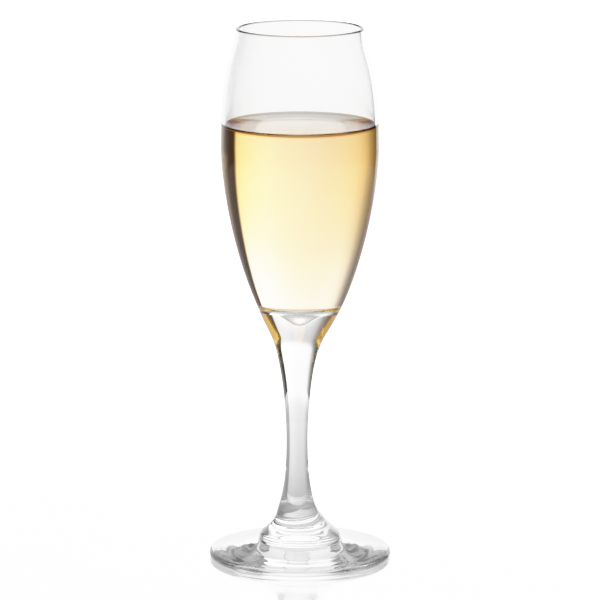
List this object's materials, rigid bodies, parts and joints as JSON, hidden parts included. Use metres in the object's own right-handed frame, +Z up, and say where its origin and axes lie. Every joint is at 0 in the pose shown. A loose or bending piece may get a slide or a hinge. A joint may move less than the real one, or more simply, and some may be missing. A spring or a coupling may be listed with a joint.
{
  "type": "champagne flute",
  "caption": "Stemmed clear glass flute with a tall tulip bowl, slender waisted stem and round foot, part filled with a pale still drink.",
  "frame": {"origin": "centre of the ring that the foot rests on, in the table's plane", "axes": "+Z up the flute's axis, towards the rim; the shape is the same all round, so +X and +Y are free"},
  "size_m": [0.0704, 0.0704, 0.2064],
  "materials": {
    "glass": "clear, fire polished",
    "wine": "clear liquid"
  },
  "bodies": {
    "root": {"bowl": "glass", "stem": "glass", "foot": "glass", "wine": "wine"}
  },
  "joints": []
}
